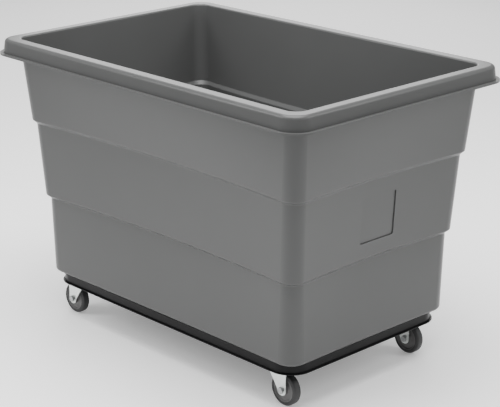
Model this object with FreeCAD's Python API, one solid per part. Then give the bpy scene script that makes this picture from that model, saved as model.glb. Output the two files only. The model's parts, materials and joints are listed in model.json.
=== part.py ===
import FreeCAD, Part
import math
import os

# Laundry cart: a moulded plastic tub bolted to a low steel base on four swivel casters.
# Millimetres. The origin is on the floor under the middle of the cart, +X runs along the
# length towards the end with the label panel, +Y is the cart's left side and +Z is up.

# ---- tub, outside sizes; heights are above the tub's underside -----------------------------
TUB_LENGTH = 1020.0            # over the rim's trim flange
TUB_WIDTH = 680.0
TUB_HEIGHT = 584.5             # underside to the top of the rim
TUB_WALL = 5.0
RIM_WIDTH_END = 38.2           # trim flange's edge to the wall's outside at the top
RIM_WIDTH_SIDE = 40.7
RIM_DEPTH = 36.5               # top of the rim to the underside of the trim flange
RIM_FLANGE = 8.0               # how far the trim flange stands out of the skirt
RIM_FLANGE_THICKNESS = 4.0
RIM_SKIRT_DRAFT = 5.0          # how much the skirt flares from its top to its foot
RIM_CORNER = 55.0
RIM_EDGE_ROUND = 9.0
MOUTH_ROUND = 4.0              # inner edge of the mouth
UPPER_TIER_TAPER_END = 14.5    # each tier's taper, taken on one wall
UPPER_TIER_TAPER_SIDE = 11.6
STEP_2_HEIGHT = 382.0
STEP_2_DEPTH = 7.4
STEP_2_BOW_END = 14.2          # how far the walls bow inwards between the corners
STEP_2_BOW_SIDE = 23.2
MIDDLE_TIER_TAPER_END = 12.5
MIDDLE_TIER_TAPER_SIDE = 9.7
STEP_1_HEIGHT = 193.8
STEP_1_DEPTH = 8.2
STEP_1_BOW_END = 13.4
STEP_1_BOW_SIDE = 20.0
LOWER_TIER_TAPER_END = 6.2
LOWER_TIER_TAPER_SIDE = 4.4
FOOT_BOW_END = 1.2
FOOT_BOW_SIDE = 1.7
RIM_BOW = 0.6
STEP_RISE = 8.0                # height of the slanted band that makes each step
STEP_ROUND = 3.0
FOOT_ROUND = 9.0
BODY_CORNER = 33.0
FOOT_CORNER = 39.0
PANEL_WIDTH = 108.0            # recessed label panel on the +X end, middle tier
PANEL_HEIGHT = 105.0
PANEL_DEPTH = 2.0
PANEL_CENTRE_HEIGHT = 287.0
PANEL_CORNER = 5.0

# ---- steel base ----------------------------------------------------------------------------
FRAME_HEIGHT = 26.0
FRAME_DEPTH = 7.5              # depth of the channel, which is open to the outside
FRAME_STEEL = 2.5
FRAME_INSET = 7.2              # tub's foot to the channel's edge
FRAME_CORNER = 56.0
RAIL_WIDTH = 40.0
RAIL_STEEL = 2.5
RAIL_GAP = 65.0                # front corner plates to the front rail
CORNER_PLATE_REACH = 46.0      # from the kingpin inwards, along X and along Y
CORNER_PLATE_STEEL = 4.0
CORNER_PLATE_CHAMFER = 22.0

# ---- casters -------------------------------------------------------------------------------
FRONT_CASTER_ROOM = 35.7       # added to the nearest place the outer caster bolt can take
REAR_CASTER_ROOM = 6.7
SIDE_CASTER_ROOM = 2.2
CASTER_TRAIL = 20.0
WHEEL_HEADROOM = 4.4           # wheel to the fork's crown
WHEEL_DIAMETER = 76.2
WHEEL_WIDTH = 21.0
TREAD_THICKNESS = 8.5
TREAD_ROUND = 4.0
PLATE_SIDE = 64.0
PLATE_STEEL = 2.5
PLATE_CORNER = 8.0
BOLT_SPACING = 45.0
RACE_RADIUS = 25.0
RACE_HOLE = 13.0
RACE_DEPTH = 3.3
BALL_COUNT = 20
BALL_RADIUS = 2.5
BALL_CIRCLE = 19.0
RACE_GAP = 2.6                 # between the plate's race and the fork's crown
CROWN_STEEL = 3.0
KINGPIN_RADIUS = 5.0
KINGPIN_HEAD = 8.0
KINGPIN_HEAD_HEIGHT = 2.4
RACE_CAP_RADIUS = 11.0
RACE_CAP_THICKNESS = 1.8
LEG_STEEL = 2.5
LEG_BOSS = 12.5
LEG_BEND = 3.5
LEG_SETBACK = 1.0              # leg's leading edge behind the crown's rim
WHEEL_SIDE_GAP = 2.0           # tread to the fork's leg
HUB_SIDE_GAP = 0.8             # hub's boss to the fork's leg
HUB_RIM = 5.0
HUB_WEB = 7.0
HUB_BOSS = 12.0
BEARING_WALL = 2.4
SLEEVE_WALL = 1.6
AXLE_RADIUS = 4.0

# ---- fasteners and clearances --------------------------------------------------------------
CASTER_BOLT_RADIUS = 3.0
CASTER_BOLT_HEAD = 5.0         # half the size across the flats
CASTER_BOLT_HEAD_HEIGHT = 4.0
CASTER_BOLT_TAIL = 2.5
CASTER_NUT_HEIGHT = 5.0
AXLE_HEAD = 6.5
AXLE_HEAD_HEIGHT = 5.3
AXLE_NUT_HEIGHT = 6.5
AXLE_TAIL = 2.5
TUB_BOLT_RADIUS = 4.0
TUB_BOLT_HEAD = 10.0
TUB_BOLT_HEAD_HEIGHT = 4.0
TUB_BOLT_HEAD_ROUND = 2.8
TUB_BOLT_TAIL = 2.5
TUB_BOLT_SPREAD = 150.0        # from the centre line to each tub bolt
TUB_WASHER_RADIUS = 19.0
TUB_WASHER_THICKNESS = 2.0
TUB_NUT = 6.5
TUB_NUT_HEIGHT = 6.5
HOLE_CLEARANCE = 0.4
RUNNING_CLEARANCE = 0.06       # radial, between a shaft and what turns on it
FACE_CLEARANCE = 0.3           # between faces that turn against each other

# ---- worked out from the values above ------------------------------------------------------
CASTER_HEIGHT = WHEEL_DIAMETER + WHEEL_HEADROOM + CROWN_STEEL + RACE_GAP + RACE_DEPTH + PLATE_STEEL
TUB_FLOOR_Z = CASTER_HEIGHT + FRAME_HEIGHT
SHOULDER_X = TUB_LENGTH / 2 - RIM_WIDTH_END
SHOULDER_Y = TUB_WIDTH / 2 - RIM_WIDTH_SIDE
STEP_2_X = SHOULDER_X - UPPER_TIER_TAPER_END
STEP_2_Y = SHOULDER_Y - UPPER_TIER_TAPER_SIDE
STEP_1_X = STEP_2_X - STEP_2_DEPTH - MIDDLE_TIER_TAPER_END
STEP_1_Y = STEP_2_Y - STEP_2_DEPTH - MIDDLE_TIER_TAPER_SIDE
FOOT_X = STEP_1_X - STEP_1_DEPTH - LOWER_TIER_TAPER_END
FOOT_Y = STEP_1_Y - STEP_1_DEPTH - LOWER_TIER_TAPER_SIDE
FRAME_X = FOOT_X - FRAME_INSET
FRAME_Y = FOOT_Y - FRAME_INSET
FRAME_INNER_X = FRAME_X - FRAME_DEPTH
FRAME_INNER_Y = FRAME_Y - FRAME_DEPTH
FRAME_INNER_CORNER = FRAME_CORNER - FRAME_DEPTH
WHEEL_RADIUS = WHEEL_DIAMETER / 2
PLATE_UNDERSIDE = CASTER_HEIGHT - PLATE_STEEL
RACE_UNDERSIDE = PLATE_UNDERSIDE - RACE_DEPTH
CROWN_TOP = RACE_UNDERSIDE - RACE_GAP
CROWN_UNDERSIDE = CROWN_TOP - CROWN_STEEL
BALL_Z = (RACE_UNDERSIDE + CROWN_TOP) / 2
FORK_GAP = WHEEL_WIDTH / 2 + WHEEL_SIDE_GAP
LEG_OUTSIDE = FORK_GAP + LEG_STEEL
SLEEVE_RADIUS = AXLE_RADIUS + SLEEVE_WALL
BEARING_BORE = SLEEVE_RADIUS + RUNNING_CLEARANCE
BEARING_RADIUS = BEARING_BORE + BEARING_WALL
HUB_RADIUS = WHEEL_RADIUS - TREAD_THICKNESS
BOLT_TOP = CASTER_HEIGHT + CORNER_PLATE_STEEL + CASTER_NUT_HEIGHT + CASTER_BOLT_TAIL
# channel's edge to a kingpin whose outer bolt lies on the web's rounded corner
CORNER_INSET = FRAME_DEPTH + FRAME_INNER_CORNER * (1 - math.sqrt(0.5)) + BOLT_SPACING / 2
FRONT_CASTER_X = FRAME_X - CORNER_INSET - FRONT_CASTER_ROOM
REAR_CASTER_X = -FRAME_X + CORNER_INSET + REAR_CASTER_ROOM
CASTER_Y = FRAME_Y - CORNER_INSET - SIDE_CASTER_ROOM
CASTERS = {
    "front_left": (FRONT_CASTER_X, CASTER_Y),
    "front_right": (FRONT_CASTER_X, -CASTER_Y),
    "rear_left": (REAR_CASTER_X, CASTER_Y),
    "rear_right": (REAR_CASTER_X, -CASTER_Y),
}
RAIL_SPACING = FRONT_CASTER_X - CORNER_PLATE_REACH - RAIL_GAP - RAIL_WIDTH / 2
RAILS = (-RAIL_SPACING, 0.0, RAIL_SPACING)
TUB_BOLTS = [(x, y) for x in RAILS for y in (-TUB_BOLT_SPREAD, TUB_BOLT_SPREAD)]
OVERRUN = 2.0                  # how far a cutting tool runs past the face it cuts
SAME_PLACE = 0.01              # two positions closer than this are the same
PARALLEL = 0.9                 # a unit tangent's share along an axis that an edge runs along

Y_AXIS = FreeCAD.Vector(0, 1, 0)
Z_AXIS = FreeCAD.Vector(0, 0, 1)


def vec(x, y, z=0.0):
    return FreeCAD.Vector(x, y, z)


def cylinder(radius, height, x, y, z, axis=Z_AXIS):
    return Part.makeCylinder(radius, height, vec(x, y, z), axis)


def tube(outer, inner, height, x, y, z, axis=Z_AXIS):
    """A ring of rectangular section; the bore is cut right through."""
    start = vec(x, y, z) - axis * OVERRUN
    bore = Part.makeCylinder(inner, height + 2 * OVERRUN, start, axis)
    return cylinder(outer, height, x, y, z, axis).cut(bore)


def box_between(low, high):
    size = high - low
    return Part.makeBox(size.x, size.y, size.z, low)


def hexagon(half_flats, height, x, y, z, axis=Z_AXIS):
    """A hexagonal prism whose flats are half_flats from the axis."""
    corner = half_flats / math.cos(math.pi / 6)
    points = []
    for i in range(7):
        angle = i * math.pi / 3
        points.append(vec(corner * math.cos(angle), corner * math.sin(angle)))
    prism = Part.Face(Part.makePolygon(points)).extrude(vec(0, 0, height))
    prism.Placement = FreeCAD.Placement(vec(x, y, z), FreeCAD.Rotation(Z_AXIS, axis))
    return prism


def group(shapes):
    """Separate solids that share one node."""
    return Part.makeCompound(shapes)


def export(shape, node):
    shape.exportStep("parts/%s.step" % node)


def bowed_outline(half_x, half_y, bow_x, bow_y, radius, z):
    """A closed outline of eight arcs: four walls that bow inwards and four tangent corners."""
    side_radius = (half_x ** 2 + bow_y ** 2) / (2 * bow_y)
    end_radius = (half_y ** 2 + bow_x ** 2) / (2 * bow_x)
    side_centre = vec(0, -half_y + bow_y - side_radius)
    end_centre = vec(half_x - bow_x + end_radius, 0)
    # the corner arc's centre is radius away from both walls, on the inside
    reach_side = side_radius + radius
    reach_end = end_radius + radius
    between = end_centre - side_centre
    span = between.Length
    along = (reach_side ** 2 - reach_end ** 2 + span ** 2) / (2 * span)
    across = math.sqrt(reach_side ** 2 - along ** 2)
    unit = between / span
    corner = side_centre + unit * along + vec(-unit.y, unit.x) * across
    on_side = side_centre + (corner - side_centre) * (side_radius / reach_side)
    on_end = end_centre + (corner - end_centre) * (end_radius / reach_end)
    middle = corner + (on_side + on_end - corner * 2).normalize() * radius
    mid_side = vec(0, -half_y + bow_y)
    mid_end = vec(half_x - bow_x, 0)

    def at(point, sx, sy):
        return vec(point.x * sx, point.y * sy, z)

    def arc(a, b, c):
        return Part.Arc(a, b, c).toShape()

    edges = [
        arc(at(on_side, -1, 1), at(mid_side, 1, 1), at(on_side, 1, 1)),
        arc(at(on_side, 1, 1), at(middle, 1, 1), at(on_end, 1, 1)),
        arc(at(on_end, 1, 1), at(mid_end, 1, 1), at(on_end, 1, -1)),
        arc(at(on_end, 1, -1), at(middle, 1, -1), at(on_side, 1, -1)),
        arc(at(on_side, 1, -1), at(mid_side, 1, -1), at(on_side, -1, -1)),
        arc(at(on_side, -1, -1), at(middle, -1, -1), at(on_end, -1, -1)),
        arc(at(on_end, -1, -1), at(mid_end, -1, 1), at(on_end, -1, 1)),
        arc(at(on_end, -1, 1), at(middle, -1, 1), at(on_side, -1, 1)),
    ]
    return Part.Wire(edges)


def loft(wires):
    return Part.makeLoft(wires, True, True)


def rounded_slab(half_x, half_y, radius, z, height):
    """A flat slab with a rounded rectangular outline, centred on the origin."""
    slab = box_between(vec(-half_x, -half_y, z), vec(half_x, half_y, z + height))
    upright = [e for e in slab.Edges if abs(e.tangentAt(e.FirstParameter).z) > PARALLEL]
    return slab.makeFillet(radius, upright)


def ring_edges(shape, z):
    """The edges of a closed ring that lies flat at height z."""
    found = []
    for edge in shape.Edges:
        box = edge.BoundBox
        if abs(box.ZMin - z) < SAME_PLACE and abs(box.ZMax - z) < SAME_PLACE:
            found.append(edge)
    return found


# ---- tub -----------------------------------------------------------------------------------
def tub_levels():
    """Height, half length, half width, end bow, side bow and corner of the outside, upwards."""
    rise = STEP_RISE / 2
    below_1 = (STEP_1_X - STEP_1_DEPTH, STEP_1_Y - STEP_1_DEPTH)
    below_2 = (STEP_2_X - STEP_2_DEPTH, STEP_2_Y - STEP_2_DEPTH)
    bow_1 = (STEP_1_BOW_END, STEP_1_BOW_SIDE)
    bow_2 = (STEP_2_BOW_END, STEP_2_BOW_SIDE)
    return [
        (0.0, FOOT_X, FOOT_Y, FOOT_BOW_END, FOOT_BOW_SIDE, FOOT_CORNER),
        (STEP_1_HEIGHT - rise, *below_1, *bow_1, BODY_CORNER),
        (STEP_1_HEIGHT + rise, STEP_1_X, STEP_1_Y, *bow_1, BODY_CORNER),
        (STEP_2_HEIGHT - rise, *below_2, *bow_2, BODY_CORNER),
        (STEP_2_HEIGHT + rise, STEP_2_X, STEP_2_Y, *bow_2, BODY_CORNER),
        (TUB_HEIGHT, SHOULDER_X, SHOULDER_Y, RIM_BOW, RIM_BOW, BODY_CORNER),
    ]


def tub_body(inset):
    """The tapering tiers as one solid, with every wall moved inwards by inset."""
    levels = tub_levels()
    wires = []
    for height, half_x, half_y, bow_x, bow_y, corner in levels:
        z = TUB_FLOOR_Z + height
        wires.append(bowed_outline(half_x - inset, half_y - inset, bow_x, bow_y, corner - inset, z))
    body = loft(wires)
    steps = []
    for height in [level[0] for level in levels[1:5]]:
        steps += ring_edges(body, TUB_FLOOR_Z + height)
    return body.makeFillet(STEP_ROUND, steps)


def rim_block(inset, bottom, top):
    """The solid inside the skirt's outer face, moved inwards by inset."""
    foot_x = TUB_LENGTH / 2 - RIM_FLANGE - inset
    foot_y = TUB_WIDTH / 2 - RIM_FLANGE - inset
    corner = RIM_CORNER - RIM_FLANGE - inset
    low = bowed_outline(foot_x, foot_y, RIM_BOW, RIM_BOW, corner, bottom)
    high = bowed_outline(foot_x - RIM_SKIRT_DRAFT, foot_y - RIM_SKIRT_DRAFT, RIM_BOW, RIM_BOW,
                         corner - RIM_SKIRT_DRAFT, top)
    block = loft([low, high])
    return block.makeFillet(RIM_EDGE_ROUND - inset / 2, ring_edges(block, top))


def label_panel_cut(wall_x, wall_slope):
    """The block that cuts the shallow label recess, laid along the middle tier's wall."""
    block = box_between(vec(-PANEL_DEPTH, -PANEL_WIDTH / 2, -PANEL_HEIGHT / 2),
                        vec(STEP_1_BOW_END, PANEL_WIDTH / 2, PANEL_HEIGHT / 2))
    corners = [e for e in block.Edges if abs(e.tangentAt(e.FirstParameter).x) > PARALLEL]
    block = block.makeFillet(PANEL_CORNER, corners)
    tilt = FreeCAD.Rotation(Y_AXIS, math.degrees(wall_slope))
    block.Placement = FreeCAD.Placement(vec(wall_x, 0, TUB_FLOOR_Z + PANEL_CENTRE_HEIGHT), tilt)
    return block


def middle_tier_end_wall():
    """The +X wall's x and slope at the label panel's centre."""
    low_height = STEP_1_HEIGHT + STEP_RISE / 2
    high_height = STEP_2_HEIGHT - STEP_RISE / 2
    low = STEP_1_X - STEP_1_BOW_END
    high = STEP_2_X - STEP_2_DEPTH - STEP_2_BOW_END
    slope = (high - low) / (high_height - low_height)
    return low + slope * (PANEL_CENTRE_HEIGHT - low_height), math.atan(slope)


def make_tub():
    top = TUB_FLOOR_Z + TUB_HEIGHT
    flange_z = top - RIM_DEPTH
    outer = tub_body(0.0)
    outer = outer.makeFillet(FOOT_ROUND, ring_edges(outer, TUB_FLOOR_Z))
    inner = tub_body(TUB_WALL)
    inner = inner.common(box_between(vec(-TUB_LENGTH, -TUB_WIDTH, TUB_FLOOR_Z + TUB_WALL),
                                     vec(TUB_LENGTH, TUB_WIDTH, top)))
    inner = inner.makeFillet(FOOT_ROUND, ring_edges(inner, TUB_FLOOR_Z + TUB_WALL))
    rim = rim_block(0.0, flange_z, top).cut(rim_block(TUB_WALL, flange_z - OVERRUN, top - TUB_WALL))
    flange = rounded_slab(TUB_LENGTH / 2, TUB_WIDTH / 2, RIM_CORNER, flange_z, RIM_FLANGE_THICKNESS)
    flange = flange.cut(rim_block(TUB_WALL, flange_z - OVERRUN, top - TUB_WALL))
    tub = outer.fuse([rim, flange]).removeSplitter()
    tub = tub.cut(inner)
    mouth = []
    for edge in ring_edges(tub, top):
        if edge.BoundBox.XMax < SHOULDER_X and edge.BoundBox.YMax < SHOULDER_Y:
            mouth.append(edge)
    tub = tub.makeFillet(MOUTH_ROUND, mouth)
    wall_x, wall_slope = middle_tier_end_wall()
    tub = tub.cut(label_panel_cut(wall_x, wall_slope))
    for x, y in TUB_BOLTS:
        tub = tub.cut(cylinder(TUB_BOLT_RADIUS + HOLE_CLEARANCE, TUB_WALL + 2 * OVERRUN,
                               x, y, TUB_FLOOR_Z - OVERRUN))
    return tub


# ---- steel base ----------------------------------------------------------------------------
def frame_ring(outer_inset, inner_inset, z, height):
    """A flat band that follows the base's outline between two insets."""
    outer = rounded_slab(FRAME_X - outer_inset, FRAME_Y - outer_inset, FRAME_CORNER - outer_inset,
                         z, height)
    inner = rounded_slab(FRAME_X - inner_inset, FRAME_Y - inner_inset, FRAME_CORNER - inner_inset,
                         z - OVERRUN, height + 2 * OVERRUN)
    return outer.cut(inner)


def make_perimeter_frame():
    steel = FRAME_STEEL
    low = CASTER_HEIGHT
    frame = frame_ring(0.0, FRAME_DEPTH, low, FRAME_HEIGHT)
    groove = frame_ring(-OVERRUN, FRAME_DEPTH - steel, low + steel, FRAME_HEIGHT - 2 * steel)
    return frame.cut(groove)


def make_cross_rail(x):
    """An inverted channel between the base's long sides, open downwards."""
    half = RAIL_WIDTH / 2
    inside = half - RAIL_STEEL
    rail = box_between(vec(x - half, -FRAME_INNER_Y, CASTER_HEIGHT),
                       vec(x + half, FRAME_INNER_Y, TUB_FLOOR_Z))
    hollow = box_between(vec(x - inside, -FRAME_INNER_Y - OVERRUN, CASTER_HEIGHT - OVERRUN),
                         vec(x + inside, FRAME_INNER_Y + OVERRUN, TUB_FLOOR_Z - RAIL_STEEL))
    rail = rail.cut(hollow)
    for bolt_x, bolt_y in TUB_BOLTS:
        if bolt_x == x:
            rail = rail.cut(cylinder(TUB_BOLT_RADIUS + HOLE_CLEARANCE, RAIL_STEEL + 2 * OVERRUN,
                                     x, bolt_y, TUB_FLOOR_Z - RAIL_STEEL - OVERRUN))
    return rail


def caster_bolt_places(x, y):
    half = BOLT_SPACING / 2
    return [(x + sx * half, y + sy * half) for sx in (-1, 1) for sy in (-1, 1)]


def make_corner_plate(x, y):
    """The plate welded into one corner of the base, inside the channel."""
    end = math.copysign(1, x)
    side = math.copysign(1, y)
    thickness = CORNER_PLATE_STEEL
    plate = rounded_slab(FRAME_INNER_X, FRAME_INNER_Y, FRAME_INNER_CORNER, CASTER_HEIGHT, thickness)
    inner_x = x - end * CORNER_PLATE_REACH
    inner_y = y - side * CORNER_PLATE_REACH
    cut = CORNER_PLATE_CHAMFER
    far_x = end * TUB_LENGTH
    far_y = side * TUB_WIDTH
    points = [
        vec(inner_x + end * cut, inner_y),
        vec(far_x, inner_y),
        vec(far_x, far_y),
        vec(inner_x, far_y),
        vec(inner_x, inner_y + side * cut),
        vec(inner_x + end * cut, inner_y),
    ]
    keep = Part.Face(Part.makePolygon(points)).extrude(vec(0, 0, thickness))
    keep.translate(vec(0, 0, CASTER_HEIGHT))
    plate = plate.common(keep)
    low = CASTER_HEIGHT - OVERRUN
    height = thickness + 2 * OVERRUN
    for bolt_x, bolt_y in caster_bolt_places(x, y):
        plate = plate.cut(cylinder(CASTER_BOLT_RADIUS + HOLE_CLEARANCE, height, bolt_x, bolt_y, low))
    return plate.cut(cylinder(KINGPIN_HEAD + HOLE_CLEARANCE, height, x, y, low))


# ---- fasteners of the base -----------------------------------------------------------------
def make_tub_bolt(x, y):
    """A low round-headed bolt, put in from inside the tub."""
    seat = TUB_FLOOR_Z + TUB_WALL + TUB_WASHER_THICKNESS
    foot = TUB_FLOOR_Z - RAIL_STEEL - TUB_NUT_HEIGHT - TUB_BOLT_TAIL
    head = cylinder(TUB_BOLT_HEAD, TUB_BOLT_HEAD_HEIGHT, x, y, seat)
    head = head.makeFillet(TUB_BOLT_HEAD_ROUND, ring_edges(head, seat + TUB_BOLT_HEAD_HEIGHT))
    return head.fuse(cylinder(TUB_BOLT_RADIUS, seat - foot + OVERRUN, x, y, foot)).removeSplitter()


def make_tub_washer(x, y):
    return tube(TUB_WASHER_RADIUS, TUB_BOLT_RADIUS + HOLE_CLEARANCE, TUB_WASHER_THICKNESS,
                x, y, TUB_FLOOR_Z + TUB_WALL)


def make_nut(half_flats, height, bore, x, y, z, axis=Z_AXIS):
    start = vec(x, y, z) - axis * OVERRUN
    hole = Part.makeCylinder(bore, height + 2 * OVERRUN, start, axis)
    return hexagon(half_flats, height, x, y, z, axis).cut(hole)


def make_caster_bolt(x, y):
    head_z = PLATE_UNDERSIDE - CASTER_BOLT_HEAD_HEIGHT
    head = hexagon(CASTER_BOLT_HEAD, CASTER_BOLT_HEAD_HEIGHT, x, y, head_z)
    return head.fuse(cylinder(CASTER_BOLT_RADIUS, BOLT_TOP - head_z, x, y, head_z)).removeSplitter()


# ---- caster --------------------------------------------------------------------------------
def ball_groove(clearance):
    """The ring-shaped path of the balls, as a cutting tool round the kingpin."""
    return Part.makeTorus(BALL_CIRCLE, BALL_RADIUS + clearance, vec(0, 0, BALL_Z), Z_AXIS)


def make_top_plate():
    half = PLATE_SIDE / 2
    plate = rounded_slab(half, half, PLATE_CORNER, PLATE_UNDERSIDE, PLATE_STEEL)
    plate = plate.fuse(tube(RACE_RADIUS, RACE_HOLE, RACE_DEPTH, 0, 0, RACE_UNDERSIDE)).removeSplitter()
    plate = plate.cut(ball_groove(FACE_CLEARANCE))
    low = PLATE_UNDERSIDE - OVERRUN
    height = PLATE_STEEL + 2 * OVERRUN
    for bolt_x, bolt_y in caster_bolt_places(0, 0):
        plate = plate.cut(cylinder(CASTER_BOLT_RADIUS + HOLE_CLEARANCE, height, bolt_x, bolt_y, low))
    return plate.cut(cylinder(KINGPIN_RADIUS, height, 0, 0, low))


def make_kingpin():
    """The riveted pin: a head on the plate, a shank through the crown and a head below the cap."""
    top_head = cylinder(KINGPIN_HEAD, KINGPIN_HEAD_HEIGHT, 0, 0, CASTER_HEIGHT)
    foot = CROWN_UNDERSIDE - FACE_CLEARANCE - RACE_CAP_THICKNESS - KINGPIN_HEAD_HEIGHT
    low_head = cylinder(KINGPIN_HEAD, KINGPIN_HEAD_HEIGHT, 0, 0, foot)
    shank = cylinder(KINGPIN_RADIUS, CASTER_HEIGHT - foot, 0, 0, foot)
    return shank.fuse([top_head, low_head]).removeSplitter()


def make_race_cap():
    low = CROWN_UNDERSIDE - FACE_CLEARANCE - RACE_CAP_THICKNESS
    return tube(RACE_CAP_RADIUS, KINGPIN_RADIUS, RACE_CAP_THICKNESS, 0, 0, low)


def fork_leg(side):
    """One leg: a plate from the crown down to the round boss at the axle."""
    front = -RACE_RADIUS + LEG_SETBACK
    back = CASTER_TRAIL + LEG_BOSS
    # the leading edge runs from the crown to its tangent point on the boss
    reach = vec(front - CASTER_TRAIL, 0, CROWN_TOP - WHEEL_RADIUS)
    away = math.atan2(reach.z, reach.x)
    swing = math.acos(LEG_BOSS / reach.Length)
    touch = vec(CASTER_TRAIL + LEG_BOSS * math.cos(away + swing), 0,
                WHEEL_RADIUS + LEG_BOSS * math.sin(away + swing))
    foot = vec(CASTER_TRAIL, 0, WHEEL_RADIUS - LEG_BOSS)
    outline = [
        Part.makeLine(touch, vec(front, 0, CROWN_TOP)),
        Part.makeLine(vec(front, 0, CROWN_TOP), vec(back, 0, CROWN_TOP)),
        Part.makeLine(vec(back, 0, CROWN_TOP), vec(back, 0, WHEEL_RADIUS)),
        Part.Arc(vec(back, 0, WHEEL_RADIUS), foot, touch).toShape(),
    ]
    leg = Part.Face(Part.Wire(outline)).extrude(vec(0, side * LEG_STEEL, 0))
    leg.translate(vec(0, side * FORK_GAP, 0))
    return leg


def make_fork():
    """Pressed steel fork; it trails towards +X of its own kingpin."""
    crown = cylinder(RACE_RADIUS, CROWN_STEEL, 0, 0, CROWN_UNDERSIDE)
    bridge = box_between(vec(-RACE_RADIUS + LEG_SETBACK, -LEG_OUTSIDE, CROWN_UNDERSIDE),
                         vec(CASTER_TRAIL + LEG_BOSS, LEG_OUTSIDE, CROWN_TOP))
    saddle = bridge.fuse([fork_leg(-1), fork_leg(1)]).removeSplitter()
    bends = []
    for edge in ring_edges(saddle, CROWN_TOP):
        if abs(abs(edge.CenterOfMass.y) - LEG_OUTSIDE) < SAME_PLACE:
            bends.append(edge)
    fork = saddle.makeFillet(LEG_BEND, bends).fuse(crown).removeSplitter()
    fork = fork.cut(ball_groove(RUNNING_CLEARANCE))
    fork = fork.cut(cylinder(KINGPIN_RADIUS + RUNNING_CLEARANCE, CROWN_STEEL + 2 * OVERRUN,
                             0, 0, CROWN_UNDERSIDE - OVERRUN))
    return fork.cut(cylinder(AXLE_RADIUS, 2 * LEG_OUTSIDE + 2 * OVERRUN,
                             CASTER_TRAIL, -LEG_OUTSIDE - OVERRUN, WHEEL_RADIUS, Y_AXIS))


def make_balls():
    balls = []
    for i in range(BALL_COUNT):
        angle = 2 * math.pi * i / BALL_COUNT
        centre = vec(BALL_CIRCLE * math.cos(angle), BALL_CIRCLE * math.sin(angle), BALL_Z)
        balls.append(Part.makeSphere(BALL_RADIUS, centre))
    return group(balls)


def make_axle_bolt():
    head_y = -LEG_OUTSIDE - AXLE_HEAD_HEIGHT
    tip_y = LEG_OUTSIDE + AXLE_NUT_HEIGHT + AXLE_TAIL
    head = hexagon(AXLE_HEAD, AXLE_HEAD_HEIGHT, CASTER_TRAIL, head_y, WHEEL_RADIUS, Y_AXIS)
    shank = cylinder(AXLE_RADIUS, tip_y - head_y, CASTER_TRAIL, head_y, WHEEL_RADIUS, Y_AXIS)
    return head.fuse(shank).removeSplitter()


def make_axle_nut():
    return make_nut(AXLE_HEAD, AXLE_NUT_HEIGHT, AXLE_RADIUS,
                    CASTER_TRAIL, LEG_OUTSIDE, WHEEL_RADIUS, Y_AXIS)


def make_axle_sleeve():
    return tube(SLEEVE_RADIUS, AXLE_RADIUS, 2 * FORK_GAP, CASTER_TRAIL, -FORK_GAP, WHEEL_RADIUS, Y_AXIS)


def wheel_ring(outer, inner, half_width):
    return tube(outer, inner, 2 * half_width, CASTER_TRAIL, -half_width, WHEEL_RADIUS, Y_AXIS)


def make_tread():
    tread = wheel_ring(WHEEL_RADIUS, HUB_RADIUS, WHEEL_WIDTH / 2)
    shoulders = []
    for edge in tread.Edges:
        on_face = abs(abs(edge.CenterOfMass.y) - WHEEL_WIDTH / 2) < SAME_PLACE
        if on_face and edge.Curve.Radius > HUB_RADIUS + SAME_PLACE:
            shoulders.append(edge)
    return tread.makeFillet(TREAD_ROUND, shoulders)


def make_hub():
    """Rim, web and boss of the wheel's core."""
    boss = wheel_ring(HUB_BOSS, BEARING_RADIUS, FORK_GAP - HUB_SIDE_GAP)
    web = wheel_ring(HUB_RADIUS - HUB_RIM + OVERRUN, HUB_BOSS - OVERRUN, HUB_WEB / 2)
    rim = wheel_ring(HUB_RADIUS, HUB_RADIUS - HUB_RIM, WHEEL_WIDTH / 2)
    return boss.fuse([web, rim]).removeSplitter()


def make_wheel_bearing():
    return wheel_ring(BEARING_RADIUS, BEARING_BORE, FORK_GAP - HUB_SIDE_GAP)


def placed(shape, x, y, turn=0.0):
    """A copy of a caster piece at one kingpin, turned about it by turn degrees."""
    copy = shape.copy()
    copy.rotate(vec(0, 0, 0), Z_AXIS, turn)
    copy.translate(vec(x, y, 0))
    return copy


def make_caster(place, x, y):
    """All pieces of one caster; the wheel trails away from the cart's middle."""
    turn = 0.0 if x > 0 else 180.0
    pieces = {
        "top_plate": make_top_plate(),
        "kingpin": make_kingpin(),
        "race_cap": make_race_cap(),
        "fork": make_fork(),
        "swivel_balls": make_balls(),
        "axle_bolt": make_axle_bolt(),
        "axle_nut": make_axle_nut(),
        "axle_sleeve": make_axle_sleeve(),
        "tread": make_tread(),
        "hub": make_hub(),
        "wheel_bearing": make_wheel_bearing(),
    }
    if x < 0:
        # the bolt heads face outwards on the cart's right side at both ends
        for name in ("axle_bolt", "axle_nut"):
            pieces[name] = pieces[name].mirror(vec(0, 0, 0), Y_AXIS)
    for name, shape in pieces.items():
        export(placed(shape, x, y, turn), "%s_%s" % (place, name))


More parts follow.
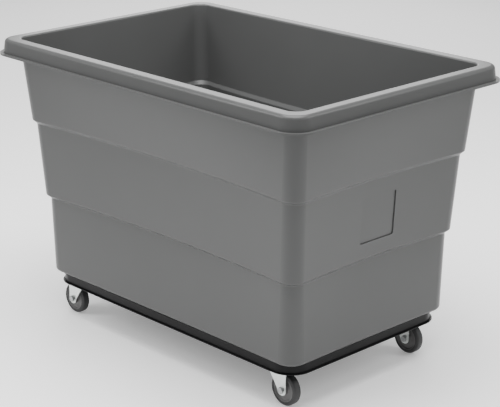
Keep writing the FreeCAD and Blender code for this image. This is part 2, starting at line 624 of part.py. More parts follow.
def main():
    os.makedirs("parts", exist_ok=True)
    export(make_tub(), "tub")
    export(make_perimeter_frame(), "perimeter_frame")
    export(make_cross_rail(RAIL_SPACING), "cross_rail_front")
    export(make_cross_rail(0.0), "cross_rail_middle")
    export(make_cross_rail(-RAIL_SPACING), "cross_rail_rear")
    export(group([make_tub_bolt(x, y) for x, y in TUB_BOLTS]), "tub_bolts")
    export(group([make_tub_washer(x, y) for x, y in TUB_BOLTS]), "tub_washers")
    nut_z = TUB_FLOOR_Z - RAIL_STEEL - TUB_NUT_HEIGHT
    tub_nuts = []
    for x, y in TUB_BOLTS:
        tub_nuts.append(make_nut(TUB_NUT, TUB_NUT_HEIGHT, TUB_BOLT_RADIUS, x, y, nut_z))
    export(group(tub_nuts), "tub_nuts")
    bolts = []
    nuts = []
    nut_z = CASTER_HEIGHT + CORNER_PLATE_STEEL
    for place, (x, y) in CASTERS.items():
        export(make_corner_plate(x, y), "corner_plate_%s" % place)
        make_caster("caster_%s" % place, x, y)
        for bolt_x, bolt_y in caster_bolt_places(x, y):
            bolts.append(make_caster_bolt(bolt_x, bolt_y))
            nuts.append(make_nut(CASTER_BOLT_HEAD, CASTER_NUT_HEIGHT, CASTER_BOLT_RADIUS,
                                 bolt_x, bolt_y, nut_z))
    export(group(bolts), "caster_bolts")
    export(group(nuts), "caster_nuts")


main()
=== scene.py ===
"""Laundry cart: visible pieces, finishes and studio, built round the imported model."""

import json
import math

import bpy
from mathutils import Matrix, Vector


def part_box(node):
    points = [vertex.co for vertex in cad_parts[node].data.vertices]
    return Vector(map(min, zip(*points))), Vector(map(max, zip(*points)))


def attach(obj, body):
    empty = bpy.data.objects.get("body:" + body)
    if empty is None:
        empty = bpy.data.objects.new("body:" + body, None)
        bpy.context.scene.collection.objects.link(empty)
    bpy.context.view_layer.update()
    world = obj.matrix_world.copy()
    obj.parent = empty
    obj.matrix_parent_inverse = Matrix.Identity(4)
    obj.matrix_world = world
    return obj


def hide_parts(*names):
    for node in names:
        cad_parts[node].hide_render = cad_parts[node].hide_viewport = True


bl_info = {
    "name": "Laundry cart",
    "version": (1, 0, 0),
    "blender": (4, 5, 0),
    "location": "View3D > Sidebar > Cart",
    "description": "Builds the visible pieces, finishes and studio of a plastic laundry cart",
    "category": "Object",
}

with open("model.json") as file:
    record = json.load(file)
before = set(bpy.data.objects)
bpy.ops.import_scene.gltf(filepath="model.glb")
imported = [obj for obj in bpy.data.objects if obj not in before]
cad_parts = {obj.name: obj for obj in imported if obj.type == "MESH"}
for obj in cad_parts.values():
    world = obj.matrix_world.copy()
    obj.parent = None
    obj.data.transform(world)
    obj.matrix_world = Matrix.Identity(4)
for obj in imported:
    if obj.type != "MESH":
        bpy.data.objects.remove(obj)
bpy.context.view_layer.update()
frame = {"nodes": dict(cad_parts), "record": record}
PLACES = ("front_left", "front_right", "rear_left", "rear_right")
MM = 0.001
ROUND_STEPS = 96               # sides of a turned piece
SHANK_STEPS = 48               # sides of the axle's shank and of the nut's bore
CONE_STEPS = 64                # sides of the cone that chamfers a hexagon
FOOT_STEPS = 64                # sides of the fork legs' round feet
CORNER_STEPS = 16              # steps round each corner of the base
BEND_STEPS = 6                 # steps over the bend between a fork's leg and its top
GROOVE_STEPS = 7               # points across the crown's ball groove
SAME_PLACE = 1e-6
QUARTER = math.radians(90)


# ---- places and sizes taken from the frame -------------------------------------------------
def middle(node):
    low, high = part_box(node)
    return (low + high) / 2


def size(node):
    low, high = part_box(node)
    return high - low


def caster_piece(place, name):
    return "caster_%s_%s" % (place, name)


# ---- modelling helpers ---------------------------------------------------------------------
def deselect():
    if bpy.context.object and bpy.context.object.mode != "OBJECT":
        bpy.ops.object.mode_set(mode="OBJECT")
    bpy.ops.object.select_all(action="DESELECT")


def start_ring(name, points):
    """A closed loop of edges through the points, left selected in edit mode."""
    deselect()
    bpy.ops.mesh.primitive_circle_add(vertices=len(points), radius=1.0, fill_type="NOTHING")
    piece = bpy.context.object
    piece.name = name
    piece.data.name = name
    for vertex, point in zip(piece.data.vertices, points):
        vertex.co = point
    bpy.ops.object.mode_set(mode="EDIT")
    bpy.ops.mesh.select_mode(type="EDGE")
    bpy.ops.mesh.select_all(action="SELECT")
    return piece


def select_vertices(piece, wanted):
    """Selects the vertices whose place is wanted, and leaves edge selection on in edit mode."""
    bpy.ops.mesh.select_mode(type="VERT")
    bpy.ops.mesh.select_all(action="DESELECT")
    bpy.ops.object.mode_set(mode="OBJECT")
    for vertex in piece.data.vertices:
        vertex.select = wanted(vertex.co)
    bpy.ops.object.mode_set(mode="EDIT")
    bpy.ops.mesh.select_mode(type="EDGE")


def extrude(offset):
    """Extrudes what is selected by the offset."""
    bpy.ops.mesh.extrude_region_move(TRANSFORM_OT_translate={"value": offset})


def close_up(piece, smooth_angle=35.0):
    """Merges doubles, turns the faces outwards, leaves edit mode and shades the piece."""
    bpy.ops.mesh.select_all(action="SELECT")
    bpy.ops.mesh.remove_doubles(threshold=SAME_PLACE)
    bpy.ops.mesh.normals_make_consistent(inside=False)
    bpy.ops.object.mode_set(mode="OBJECT")
    smooth(piece, smooth_angle)
    return piece


def make_active(piece):
    deselect()
    piece.select_set(True)
    bpy.context.view_layer.objects.active = piece


def smooth(piece, angle=35.0):
    """Shades the piece smooth, apart from edges sharper than the angle in degrees."""
    make_active(piece)
    bpy.ops.object.shade_smooth_by_angle(angle=math.radians(angle))


def turned(name, profile, steps=ROUND_STEPS):
    """A ring turned about Z from a closed profile of (radius, height) points, in metres."""
    radius, height = profile[0]
    points = []
    for i in range(steps):
        angle = 2 * math.pi * i / steps
        points.append((radius * math.cos(angle), radius * math.sin(angle), height))
    piece = start_ring(name, points)
    for next_radius, next_height in profile[1:] + profile[:1]:
        extrude((0, 0, next_height - height))
        scale = next_radius / radius
        bpy.ops.transform.resize(value=(scale, scale, 1), center_override=(0, 0, next_height))
        radius, height = next_radius, next_height
    return close_up(piece)


def apply_modifier(piece, kind, **values):
    """Adds a modifier with the given values and applies it."""
    make_active(piece)
    modifier = piece.modifiers.new(kind.title(), kind)
    for key, value in values.items():
        setattr(modifier, key, value)
    bpy.ops.object.modifier_apply(modifier=modifier.name)


def rounded(corners, steps=4):
    """Points of a closed profile whose (across, along, rounding) corners become short arcs."""
    points = []
    count = len(corners)
    for i, (x, y, rounding) in enumerate(corners):
        here = Vector((x, y))
        if rounding == 0:
            points.append((x, y))
            continue
        before = (Vector(corners[i - 1][:2]) - here).normalized()
        after = (Vector(corners[(i + 1) % count][:2]) - here).normalized()
        half = before.angle(after) / 2
        reach = rounding / math.tan(half)
        centre = here + (before + after).normalized() * (rounding / math.sin(half))
        first = here + before * reach - centre
        last = here + after * reach - centre
        for step in range(steps + 1):
            arm = first.normalized().slerp(last.normalized(), step / steps)
            points.append(tuple(centre + arm * rounding))
    return points


def hexagon_head(name, half_flats, height, chamfer, bore=0.0):
    """A hexagonal head or nut standing on z = 0, its top corners turned away."""
    deselect()
    corner = half_flats / math.cos(math.pi / 6)
    bpy.ops.mesh.primitive_cylinder_add(
        vertices=6, radius=corner, depth=height, end_fill_type="NGON",
        location=(0, 0, height / 2), rotation=(0, 0, math.pi / 6))
    head = bpy.context.object
    head.name = name
    bpy.ops.object.transform_apply(location=True, rotation=True, scale=True)
    # a cone just wider than the corners turns them away at the top
    reach = corner * 1.02
    slant = corner * 1.2
    bpy.ops.mesh.primitive_cone_add(
        vertices=CONE_STEPS, radius1=reach + slant, radius2=reach - chamfer,
        depth=slant + chamfer, location=(0, 0, height - (slant + chamfer) / 2))
    cut(head, bpy.context.object, "INTERSECT")
    if bore:
        deselect()
        bpy.ops.mesh.primitive_cylinder_add(vertices=SHANK_STEPS, radius=bore, depth=height * 3,
                                            location=(0, 0, height / 2))
        cut(head, bpy.context.object, "DIFFERENCE")
    apply_modifier(head, "BEVEL", width=0.25 * MM, segments=2, limit_method="ANGLE",
                   angle_limit=math.radians(30))
    smooth(head, 30)
    return head


def cut(piece, tool, operation):
    """Applies a boolean with the tool and removes the tool."""
    apply_modifier(piece, "BOOLEAN", object=tool, operation=operation, solver="EXACT")
    bpy.data.objects.remove(tool)


def join(pieces):
    deselect()
    for piece in pieces:
        piece.select_set(True)
    bpy.context.view_layer.objects.active = pieces[0]
    bpy.ops.object.join()
    return bpy.context.object


def put(piece, matrix):
    """Moves the mesh, so that the object itself stays at the origin."""
    piece.data.transform(matrix)
    piece.data.update()
    return piece


def copy_of(piece, name):
    """A copy with a mesh of its own."""
    twin = piece.copy()
    twin.data = piece.data.copy()
    twin.name = name
    twin.data.name = name
    bpy.context.scene.collection.objects.link(twin)
    return twin


def stand_in(piece, node, body, slot):
    """The piece stands for the CAD node, rides on its body and takes the slot's finish."""
    piece.data.materials.clear()
    piece.data.materials.append(FINISHES[slot])
    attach(piece, body)
    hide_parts(node)


# ---- finishes ------------------------------------------------------------------------------
def new_group(name, inputs, outputs):
    group = bpy.data.node_groups.new(name, "ShaderNodeTree")
    for label, kind, value in inputs:
        socket = group.interface.new_socket(name=label, in_out="INPUT", socket_type=kind)
        socket.default_value = value
    for label, kind in outputs:
        group.interface.new_socket(name=label, in_out="OUTPUT", socket_type=kind)
    return group


def noise(tree, vector, scale, detail=3.0):
    node = tree.nodes.new("ShaderNodeTexNoise")
    node.inputs["Detail"].default_value = detail
    if hasattr(scale, "links"):
        tree.links.new(scale, node.inputs["Scale"])
    else:
        node.inputs["Scale"].default_value = scale
    tree.links.new(vector, node.inputs["Vector"])
    return node.outputs["Fac"]


def spread(tree, value, low, high, least=0.0, most=1.0):
    """Stretches a value that lies between least and most to the range low to high."""
    node = tree.nodes.new("ShaderNodeMapRange")
    node.inputs["From Min"].default_value = least
    node.inputs["From Max"].default_value = most
    node.inputs["To Min"].default_value = low
    node.inputs["To Max"].default_value = high
    tree.links.new(value, node.inputs["Value"])
    return node.outputs["Result"]


def mixed(tree, factor, first, second):
    node = tree.nodes.new("ShaderNodeMix")
    node.data_type = "RGBA"
    tree.links.new(factor, node.inputs["Factor"])
    for socket, colour in ((node.inputs[6], first), (node.inputs[7], second)):
        if hasattr(colour, "links"):
            tree.links.new(colour, socket)
        else:
            socket.default_value = (*colour[:3], 1.0)
    return node.outputs[2]


def surface_group():
    """Two scales of unevenness that every finish shares: cloudy tone and fine grain."""
    group = new_group("Surface unevenness",
                      [("Vector", "NodeSocketVector", (0, 0, 0)),
                       ("Cloud Scale", "NodeSocketFloat", 8.0),
                       ("Grain Scale", "NodeSocketFloat", 900.0)],
                      [("Cloud", "NodeSocketFloat"), ("Grain", "NodeSocketFloat")])
    given = group.nodes.new("NodeGroupInput")
    made = group.nodes.new("NodeGroupOutput")
    cloud = noise(group, given.outputs["Vector"], given.outputs["Cloud Scale"], 2.0)
    grain = noise(group, given.outputs["Vector"], given.outputs["Grain Scale"], 2.0)
    # noise lies near a half and seldom leaves this range
    group.links.new(spread(group, cloud, 0.0, 1.0, 0.2, 0.8), made.inputs["Cloud"])
    group.links.new(grain, made.inputs["Grain"])
    return group


def finish(name, colour, shade, rough, metal=0.0, cloud=8.0, grain=900.0, depth=0.05,
           stretch=(1, 1, 1), specular=0.5):
    """One material: two tones of the colour, gloss between two values and fine grain."""
    material = bpy.data.materials.new(name)
    material.use_nodes = True
    tree = material.node_tree
    shader = tree.nodes["Principled BSDF"]
    place = tree.nodes.new("ShaderNodeTexCoord")
    mapping = tree.nodes.new("ShaderNodeMapping")
    mapping.inputs["Scale"].default_value = stretch
    tree.links.new(place.outputs["Object"], mapping.inputs["Vector"])
    uneven = tree.nodes.new("ShaderNodeGroup")
    uneven.node_tree = bpy.data.node_groups["Surface unevenness"]
    uneven.inputs["Cloud Scale"].default_value = cloud
    uneven.inputs["Grain Scale"].default_value = grain
    tree.links.new(mapping.outputs["Vector"], uneven.inputs["Vector"])
    darker = [c * shade for c in colour[:3]]
    tone = mixed(tree, uneven.outputs["Cloud"], darker, colour)
    tree.links.new(tone, shader.inputs["Base Color"])
    gloss = spread(tree, uneven.outputs["Cloud"], rough[0], rough[1])
    tree.links.new(gloss, shader.inputs["Roughness"])
    shader.inputs["Metallic"].default_value = metal
    shader.inputs["Specular IOR Level"].default_value = specular
    bump = tree.nodes.new("ShaderNodeBump")
    bump.inputs["Strength"].default_value = depth
    bump.inputs["Distance"].default_value = 0.3 * MM
    tree.links.new(uneven.outputs["Grain"], bump.inputs["Height"])
    tree.links.new(bump.outputs["Normal"], shader.inputs["Normal"])
    return material


def make_finishes(colours):
    """The finish of each of the record's material slots."""
    surface_group()
    return {
        "tub_plastic": finish(
            "moulded_grey_plastic", colours.tub, 0.93, (0.27, 0.33),
            cloud=5.0, grain=1100.0, depth=0.06, specular=0.28),
        "base_paint": finish(
            "black_base_paint", colours.base, 0.7, (0.26, 0.36),
            cloud=25.0, grain=420.0, depth=0.05, specular=0.12),
        "zinc_steel": finish(
            "zinc_plated_steel", colours.zinc, 0.86, (0.24, 0.42), metal=1.0,
            cloud=160.0, grain=1500.0, depth=0.08),
        "fastener_steel": finish(
            "fastener_steel", colours.fastener, 0.75, (0.28, 0.46), metal=1.0,
            cloud=220.0, grain=1800.0, depth=0.08),
        "ball_steel": finish(
            "ball_steel", colours.balls, 0.95, (0.08, 0.14), metal=1.0, cloud=90.0),
        "tread_rubber": finish(
            "wheel_rubber", colours.rubber, 0.62, (0.50, 0.66),
            cloud=60.0, grain=700.0, depth=0.22, stretch=(1.0, 0.12, 1.0)),
        "hub_plastic": finish(
            "wheel_core_plastic", colours.core, 0.8, (0.42, 0.55),
            cloud=90.0, grain=900.0, depth=0.14),
        "bearing_plastic": finish(
            "bush_plastic", colours.bush, 0.9, (0.35, 0.45), cloud=70.0),
    }


# ---- settings ------------------------------------------------------------------------------
def colour_property(name, description, default):
    return bpy.props.FloatVectorProperty(name=name, description=description, subtype="COLOR",
                                         size=3, min=0.0, max=1.0, default=default)


def length_property(name, description, default):
    return bpy.props.FloatProperty(name=name, description=description, default=default,
                                   min=0.0, unit="LENGTH", precision=4)


def power_property(name, description, default):
    return bpy.props.FloatProperty(name=name, description=description, default=default,
                                   min=0.0, unit="POWER")


class CartColours(bpy.types.PropertyGroup):
    tub: colour_property("Tub", "Colour of the moulded tub", (0.0645, 0.0655, 0.065))
    base: colour_property("Base", "Colour of the painted steel base", (0.004, 0.004, 0.0044))
    zinc: colour_property("Zinc", "Colour of the plated caster forks", (0.74, 0.77, 0.75))
    fastener: colour_property("Fasteners", "Colour of bolts and nuts", (0.42, 0.43, 0.43))
    balls: colour_property("Balls", "Colour of the swivels' balls", (0.7, 0.7, 0.7))
    rubber: colour_property("Tread", "Colour of the rubber treads", (0.024, 0.024, 0.025))
    core: colour_property("Wheel core", "Colour of the wheel cores", (0.105, 0.103, 0.103))
    bush: colour_property("Bush", "Colour of the wheels' bushes", (0.62, 0.60, 0.54))


class CartSizes(bpy.types.PropertyGroup):
    channel_steel: length_property("Channel steel", "Thickness of the base channel", 2.5 * MM)
    channel_depth: length_property("Channel depth", "Depth of the base channel", 7.5 * MM)
    channel_corner: length_property("Base corner", "Radius of the base's corners", 56.0 * MM)
    channel_bend: length_property("Channel bend", "Outer radius of the channel's two bends",
                                  3.5 * MM)
    edge_break: length_property("Edge break", "Rounding of sheet steel edges", 0.35 * MM)
    fork_steel: length_property("Fork steel", "Thickness of the fork's pressed steel", 2.5 * MM)
    fork_bend: length_property("Fork bend", "Outer radius of the bend above the fork's legs",
                               3.5 * MM)
    fork_foot: length_property("Fork foot", "Radius of the round foot of each fork leg",
                               12.5 * MM)
    fork_front: length_property("Fork front", "Kingpin to the front of the legs' front edges",
                                24.0 * MM)
    crown_steel: length_property("Crown steel", "Thickness of the fork's crown", 3.0 * MM)
    crown_bore: length_property("Crown bore", "Radius of the crown's hole round the kingpin",
                                5.2 * MM)
    ball_circle: length_property("Ball circle", "Radius of the ring of swivel balls", 19.0 * MM)
    ball_groove: length_property("Ball groove", "Radius of the groove the balls run in",
                                 2.56 * MM)
    tread_round: length_property("Tread rounding", "Rounding of the tread's shoulders", 4.5 * MM)
    tread_crown: length_property("Tread crown", "Drop of the tread's face towards its shoulder",
                                 2.0 * MM)
    tread_lip: length_property("Ring width", "Width of each raised ring on the wheel's face",
                               1.1 * MM)
    tread_step: length_property("Ring height", "Height of the raised rings", 0.45 * MM)
    tread_rings: bpy.props.IntProperty(name="Rings", description="Raised rings on the wheel's face",
                                       default=2, min=1)
    core_web: length_property("Core web", "Half the thickness of the wheel core's web", 6.0 * MM)
    core_lip: length_property("Core lip", "Width of the lip round the wheel core", 1.8 * MM)
    core_boss: length_property("Core boss", "Radius of the wheel core's boss", 12.0 * MM)
    axle_radius: length_property("Axle", "Radius of the axle bolt", 4.0 * MM)
    axle_flats: length_property("Axle head", "Half the size across the flats of head and nut",
                                6.5 * MM)
    bolt_chamfer: length_property("Bolt chamfer", "Chamfer of hexagonal heads and nuts",
                                  0.8 * MM)


class CartStudio(bpy.types.PropertyGroup):
    floor: colour_property("Floor", "Colour of the floor", (0.93, 0.93, 0.93))
    glow: bpy.props.FloatProperty(name="Floor glow", default=0.25,
                                  description="Light that the floor gives off, as a light table")
    world: bpy.props.FloatProperty(name="Surround", default=0.42,
                                   description="Brightness of the white surround")
    overhead: power_property("Overhead", "Power of the overhead softbox", 210.0)
    side: power_property("Side", "Power of the softbox on the long side", 66.0)
    end: power_property("End", "Power of the softbox on the label end", 54.0)
    back: power_property("Back", "Power of the softbox behind the cart", 50.0)
    azimuth: bpy.props.FloatProperty(name="Azimuth", description="Direction the camera looks from",
                                     default=math.radians(46.2), subtype="ANGLE")
    elevation: bpy.props.FloatProperty(name="Elevation", default=math.radians(18.625),
                                       description="Height of the camera as an angle",
                                       subtype="ANGLE")
    distance: length_property("Distance", "Camera to the point it looks at", 3.6)
    aim: bpy.props.FloatVectorProperty(name="Aim", description="The point the camera looks at",
                                       size=3, subtype="TRANSLATION", unit="LENGTH",
                                       default=(0.1233, -0.0912, 0.3826))
    lens: bpy.props.FloatProperty(name="Lens", description="Focal length in millimetres",
                                  default=114.15)


# each softbox's name, the setting that holds its power, its width and its place
SOFTBOXES = (
    ("overhead_softbox", "overhead", 2.6, (0.2, -0.3, 3.0)),
    ("side_softbox", "side", 1.5, (-2.1, -2.8, 2.8)),
    ("end_softbox", "end", 1.5, (2.9, 2.0, 2.6)),
    ("back_softbox", "back", 2.4, (-3.0, 2.9, 2.0)),
)
LIGHTS_AIM = Vector((0, 0, 0.35))
FLOOR_SIZE = 40.0

FINISHES = {}


# ---- operators -----------------------------------------------------------------------------
class CART_OT_finishes(bpy.types.Operator):
    """Makes the finishes and gives each piece of the model its own"""
    bl_idname = "cart.finishes"
    bl_label = "Finishes"

    def execute(self, context):
        FINISHES.update(make_finishes(context.scene.cart_colours))
        slots = {}
        for part in frame["record"]["subparts"]:
            slots[part["node"]] = part["material_slot"]
        for name, node in frame["nodes"].items():
            node.data.materials.clear()
            node.data.materials.append(FINISHES[slots[name]])
        return {"FINISHED"}


def channel_outline(depth, height, steel, bend):
    """The C section as (distance inwards, height) points, with both bends rounded."""
    inner = bend - steel
    corners = [
        (0, 0, 0),
        (depth, 0, bend),
        (depth, height, bend),
        (0, height, 0),
        (0, height - steel, 0),
        (depth - steel, height - steel, inner),
        (depth - steel, steel, inner),
        (0, steel, 0),
    ]
    return rounded(corners, 5)


class CART_OT_base_frame(bpy.types.Operator):
    """Bends the base's channel round the tub's foot"""
    bl_idname = "cart.base_frame"
    bl_label = "Base frame"

    def execute(self, context):
        sizes = context.scene.cart_sizes
        low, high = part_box("perimeter_frame")
        outline = channel_outline(sizes.channel_depth, high.z - low.z, sizes.channel_steel,
                                  sizes.channel_bend)
        points = [(0, inwards - high.y, low.z + height) for inwards, height in outline]
        piece = start_ring("base_channel", points)
        corner_x = high.x - sizes.channel_corner
        corner_y = high.y - sizes.channel_corner
        runs = [
            ((corner_x, 0, 0), (corner_x, -corner_y)),
            ((0, 2 * corner_y, 0), (corner_x, corner_y)),
            ((-2 * corner_x, 0, 0), (-corner_x, corner_y)),
            ((0, -2 * corner_y, 0), (-corner_x, -corner_y)),
        ]
        for run, centre in runs:
            extrude(run)
            bpy.ops.mesh.spin(steps=CORNER_STEPS, angle=QUARTER, center=(*centre, 0),
                              axis=(0, 0, -1))
        extrude((corner_x, 0, 0))
        close_up(piece, 40)
        apply_modifier(piece, "BEVEL", width=sizes.edge_break, segments=2,
                       limit_method="ANGLE", angle_limit=math.radians(60))
        smooth(piece, 40)
        stand_in(piece, "perimeter_frame", "cart_body", "base_paint")
        return {"FINISHED"}


def fork_blade(sizes, trail, gap, axle_z, crown_top):
    """Both legs and the bridge between them, pressed from one sheet.

    The kingpin is at x = 0 and the axle is at x = trail.
    """
    half_steel = sizes.fork_steel / 2
    leg_y = gap + half_steel
    foot = sizes.fork_foot
    hole = sizes.axle_radius
    ring = []
    for i in range(FOOT_STEPS):
        angle = 2 * math.pi * i / FOOT_STEPS
        ring.append((trail + hole * math.cos(angle), leg_y, axle_z + hole * math.sin(angle)))
    piece = start_ring("caster_fork", ring)
    extrude((0, 0, 0))
    grow = foot / hole
    bpy.ops.transform.resize(value=(grow, 1, grow), center_override=(trail, leg_y, axle_z))
    # the leg's front edge is a line from the crown's front that touches the round foot
    reach = Vector((-sizes.fork_front - trail, crown_top - axle_z))
    lean = math.atan2(reach.y, reach.x) + math.acos(foot / reach.length)

    def upper_rim(place):
        arm = Vector((place.x - trail, place.z - axle_z))
        return arm.length > foot * 0.99 and -0.01 < math.atan2(arm.y, arm.x) < lean + 0.02

    select_vertices(piece, upper_rim)
    extrude((0, 0, 0))
    bpy.ops.object.mode_set(mode="OBJECT")
    # the foot's upper rim becomes the leg's level upper edge, just below the bend
    moved = sorted((v for v in piece.data.vertices if v.select), key=lambda v: v.co.x)
    top_z = crown_top - sizes.fork_bend
    first = moved[0].co.copy()
    span = moved[-1].co.x - first.x
    slope = (-sizes.fork_front - first.x) / (crown_top - first.z)
    lead_x = first.x + slope * (top_z - first.z)
    for vertex in moved:
        share = (vertex.co.x - first.x) / span
        vertex.co = (lead_x + share * (trail + foot - lead_x), leg_y, top_z)
    bpy.ops.object.mode_set(mode="EDIT")
    # over the bend, then across to the fork's middle plane
    bend = sizes.fork_bend - half_steel
    for step in range(BEND_STEPS):
        start = QUARTER * step / BEND_STEPS
        end = QUARTER * (step + 1) / BEND_STEPS
        extrude((0, -bend * (math.cos(start) - math.cos(end)),
                 bend * (math.sin(end) - math.sin(start))))
    extrude((0, -(leg_y - bend), 0))
    bpy.ops.mesh.select_all(action="SELECT")
    bpy.ops.mesh.remove_doubles(threshold=SAME_PLACE)
    bpy.ops.object.mode_set(mode="OBJECT")
    apply_modifier(piece, "MIRROR", use_axis=(False, True, False), merge_threshold=1e-5)
    bpy.ops.object.mode_set(mode="EDIT")
    bpy.ops.mesh.select_all(action="SELECT")
    bpy.ops.mesh.normals_make_consistent(inside=False)
    bpy.ops.object.mode_set(mode="OBJECT")
    apply_modifier(piece, "SOLIDIFY", thickness=sizes.fork_steel, offset=0.0,
                   use_even_offset=True)
    apply_modifier(piece, "BEVEL", width=sizes.edge_break, segments=2, limit_method="ANGLE",
                   angle_limit=math.radians(50))
    smooth(piece, 35)
    return piece


def fork_crown(sizes, radius, top, ball_z):
    """The turned crown, with the groove that the swivel balls run in."""
    floor = top - sizes.crown_steel
    profile = rounded([
        (sizes.crown_bore, floor, 0.4 * MM),
        (radius, floor, 0.8 * MM),
        (radius, top, 0.8 * MM),
    ], 3)
    for step in range(GROOVE_STEPS):
        angle = math.radians(-30 - 20 * step)
        profile.append((sizes.ball_circle + sizes.ball_groove * math.cos(angle),
                        ball_z + sizes.ball_groove * math.sin(angle)))
    profile.append((sizes.crown_bore, top))
    return turned("fork_crown", profile)


class CART_OT_forks(bpy.types.Operator):
    """Presses the four caster forks, each with its turned crown"""
    bl_idname = "cart.forks"
    bl_label = "Caster forks"

    def execute(self, context):
        sizes = context.scene.cart_sizes
        pin = middle(caster_piece("front_left", "kingpin"))
        axle = middle(caster_piece("front_left", "hub"))
        low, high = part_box(caster_piece("front_left", "fork"))
        gap = size(caster_piece("front_left", "axle_sleeve")).y / 2
        blade = fork_blade(sizes, axle.x - pin.x, gap, axle.z, high.z)
        ball_z = middle(caster_piece("front_left", "swivel_balls")).z
        crown = fork_crown(sizes, (high.y - low.y) / 2, high.z, ball_z)
        fork = join([blade, crown])
        fork.name = "caster_fork"
        for place in PLACES:
            kingpin = middle(caster_piece(place, "kingpin"))
            turn = 0.0 if kingpin.x > 0 else math.pi
            piece = copy_of(fork, "fork_%s" % place)
            put(piece, Matrix.Translation((kingpin.x, kingpin.y, 0))
                @ Matrix.Rotation(turn, 4, "Z"))
            stand_in(piece, caster_piece(place, "fork"), place + "_swivel", "zinc_steel")
        bpy.data.objects.remove(fork)
        return {"FINISHED"}


def tread_outline(sizes, radius, half, core):
    """The tread's (radius, along) points, with raised rings on each face round its inner edge."""
    lip = sizes.tread_lip
    step = sizes.tread_step
    face = [(core, half - 1.2 * MM, 0), (core, half, 0.3 * MM)]
    for ring in range(sizes.tread_rings):
        inner = core + ring * 2 * lip
        face += [(inner + lip, half, 0.3 * MM), (inner + lip + step, half - step, 0.2 * MM)]
        if ring < sizes.tread_rings - 1:
            face += [(inner + 2 * lip - step, half - step, 0.2 * MM),
                     (inner + 2 * lip, half, 0.3 * MM)]
    face.append((radius, half - sizes.tread_crown, sizes.tread_round))
    other = [(across, -along, turn) for across, along, turn in face]
    return rounded(other + face[::-1], 5)


def core_outline(sizes, core, half, boss_half, bore):
    """The wheel core's (radius, along) points: boss, web and lip."""
    web = sizes.core_web
    boss = sizes.core_boss
    lip = core - sizes.core_lip
    rim = half - 0.9 * MM
    corners = []
    for side in (-1, 1):
        ring = [
            (bore, side * boss_half, 0.3 * MM),
            (boss, side * boss_half, 0.7 * MM),
            (boss + 0.6 * MM, side * web, 1.6 * MM),
            (lip - 2.4 * MM, side * web, 1.6 * MM),
            (lip, side * rim, 0.6 * MM),
            (core, side * rim, 0.2 * MM),
        ]
        corners += ring if side < 0 else ring[::-1]
    return rounded(corners, 4)


class CART_OT_wheels(bpy.types.Operator):
    """Turns the four wheels: rubber treads on moulded cores"""
    bl_idname = "cart.wheels"
    bl_label = "Wheels"

    def execute(self, context):
        sizes = context.scene.cart_sizes
        tread_size = size(caster_piece("front_left", "tread"))
        core_size = size(caster_piece("front_left", "hub"))
        bore = size(caster_piece("front_left", "wheel_bearing")).x / 2
        half = tread_size.y / 2
        core = core_size.x / 2
        tread = turned("wheel_tread", tread_outline(sizes, tread_size.x / 2, half, core))
        hub = turned("wheel_core", core_outline(sizes, core, half, core_size.y / 2, bore))
        upright = Matrix.Rotation(QUARTER, 4, "X")
        for place in PLACES:
            axle = middle(caster_piece(place, "hub"))
            for made, node, slot in ((tread, "tread", "tread_rubber"),
                                     (hub, "hub", "hub_plastic")):
                piece = copy_of(made, "%s_%s" % (made.name, place))
                put(piece, Matrix.Translation(axle) @ upright)
                stand_in(piece, caster_piece(place, node), place + "_wheel", slot)
        bpy.data.objects.remove(tread)
        bpy.data.objects.remove(hub)
        return {"FINISHED"}


class CART_OT_axle_fasteners(bpy.types.Operator):
    """Makes the axle bolts and nuts with chamfered hexagons"""
    bl_idname = "cart.axle_fasteners"
    bl_label = "Axle bolts and nuts"

    def execute(self, context):
        sizes = context.scene.cart_sizes
        bolt_low, bolt_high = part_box(caster_piece("front_left", "axle_bolt"))
        nut_low, nut_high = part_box(caster_piece("front_left", "axle_nut"))
        axle = middle(caster_piece("front_left", "hub"))
        shank = sizes.axle_radius
        leg = nut_low.y - axle.y
        tip = bolt_high.y - axle.y
        head_height = -leg - (bolt_low.y - axle.y)
        head = hexagon_head("axle_head", sizes.axle_flats, head_height, sizes.bolt_chamfer)
        put(head, Matrix.Translation((0, 0, leg)))
        thread = turned("axle_shank", rounded([
            (0.3 * MM, -tip, 0),
            (shank, -tip, 0.6 * MM),
            (shank, leg, 0),
            (0.3 * MM, leg, 0),
        ], 3), SHANK_STEPS)
        bolt = join([head, thread])
        bolt.name = "axle_bolt"
        nut = hexagon_head("axle_nut", sizes.axle_flats, nut_high.y - nut_low.y,
                           sizes.bolt_chamfer, shank)
        put(nut, Matrix.Translation((0, 0, leg)))
        for place in PLACES:
            centre = middle(caster_piece(place, "hub"))
            nut_side = 1.0 if middle(caster_piece(place, "axle_nut")).y > centre.y else -1.0
            for made, node, side in ((bolt, "axle_bolt", -nut_side), (nut, "axle_nut", nut_side)):
                piece = copy_of(made, "%s_%s" % (made.name, place))
                put(piece, Matrix.Translation(centre) @ Matrix.Rotation(-side * QUARTER, 4, "X"))
                stand_in(piece, caster_piece(place, node), place + "_swivel", "fastener_steel")
        bpy.data.objects.remove(bolt)
        bpy.data.objects.remove(nut)
        return {"FINISHED"}


def add_softbox(name, power, width, place):
    """A square area light that faces the cart."""
    light = bpy.data.lights.new(name, "AREA")
    light.energy = power
    light.size = width
    box = bpy.data.objects.new(name, light)
    bpy.context.scene.collection.objects.link(box)
    box.location = place
    box.rotation_euler = (LIGHTS_AIM - Vector(place)).to_track_quat("-Z", "Y").to_euler()


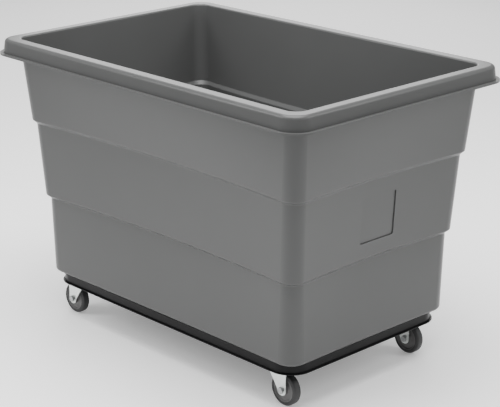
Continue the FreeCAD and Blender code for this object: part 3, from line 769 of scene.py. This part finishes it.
class CART_OT_studio(bpy.types.Operator):
    """Sets up the floor, the soft lights and the camera"""
    bl_idname = "cart.studio"
    bl_label = "Studio"

    def execute(self, context):
        studio = context.scene.cart_studio
        deselect()
        bpy.ops.mesh.primitive_plane_add(size=FLOOR_SIZE, location=(0, 0, 0))
        floor = context.object
        floor.name = "floor"
        surface = finish("pale_floor", studio.floor, 0.985, (0.7, 0.8), cloud=2.0, grain=300.0,
                         depth=0.02, specular=0.1)
        shader = surface.node_tree.nodes["Principled BSDF"]
        shader.inputs["Emission Color"].default_value = (1.0, 1.0, 1.0, 1.0)
        shader.inputs["Emission Strength"].default_value = studio.glow
        floor.data.materials.append(surface)
        world = bpy.data.worlds.new("white_surround")
        world.use_nodes = True
        background = world.node_tree.nodes["Background"]
        background.inputs["Color"].default_value = (1.0, 1.0, 1.0, 1.0)
        background.inputs["Strength"].default_value = studio.world
        context.scene.world = world
        for name, power, width, place in SOFTBOXES:
            add_softbox(name, getattr(studio, power), width, place)
        camera = bpy.data.objects.new("studio_camera", bpy.data.cameras.new("studio_camera"))
        context.scene.collection.objects.link(camera)
        level = math.cos(studio.elevation)
        back = Vector((math.sin(studio.azimuth) * level, -math.cos(studio.azimuth) * level,
                       math.sin(studio.elevation)))
        camera.location = Vector(studio.aim) + back * studio.distance
        camera.rotation_euler = (math.pi / 2 - studio.elevation, 0.0, studio.azimuth)
        camera.data.lens = studio.lens
        camera.data.clip_end = 100.0
        context.scene.camera = camera
        return {"FINISHED"}


class CART_PT_panel(bpy.types.Panel):
    """Lists the cart's settings and the steps that build it"""
    bl_idname = "CART_PT_panel"
    bl_label = "Laundry cart"
    bl_space_type = "VIEW_3D"
    bl_region_type = "UI"
    bl_category = "Cart"

    def draw(self, context):
        scene = context.scene
        for group in (scene.cart_colours, scene.cart_sizes, scene.cart_studio):
            for key in group.__annotations__:
                self.layout.prop(group, key)
        for step in STEPS:
            self.layout.operator(step.bl_idname)


STEPS = (CART_OT_finishes, CART_OT_base_frame, CART_OT_forks, CART_OT_wheels,
         CART_OT_axle_fasteners, CART_OT_studio)
SETTINGS = {"cart_colours": CartColours, "cart_sizes": CartSizes, "cart_studio": CartStudio}


def register():
    for name, group in SETTINGS.items():
        bpy.utils.register_class(group)
        setattr(bpy.types.Scene, name, bpy.props.PointerProperty(type=group))
    for step in STEPS:
        bpy.utils.register_class(step)
    bpy.utils.register_class(CART_PT_panel)


def unregister():
    bpy.utils.unregister_class(CART_PT_panel)
    for step in reversed(STEPS):
        bpy.utils.unregister_class(step)
    for name, group in SETTINGS.items():
        delattr(bpy.types.Scene, name)
        bpy.utils.unregister_class(group)


def main():
    register()
    bpy.ops.cart.finishes()
    bpy.ops.cart.base_frame()
    bpy.ops.cart.forks()
    bpy.ops.cart.wheels()
    bpy.ops.cart.axle_fasteners()
    bpy.ops.cart.studio()


if __name__ == "__main__":
    main()
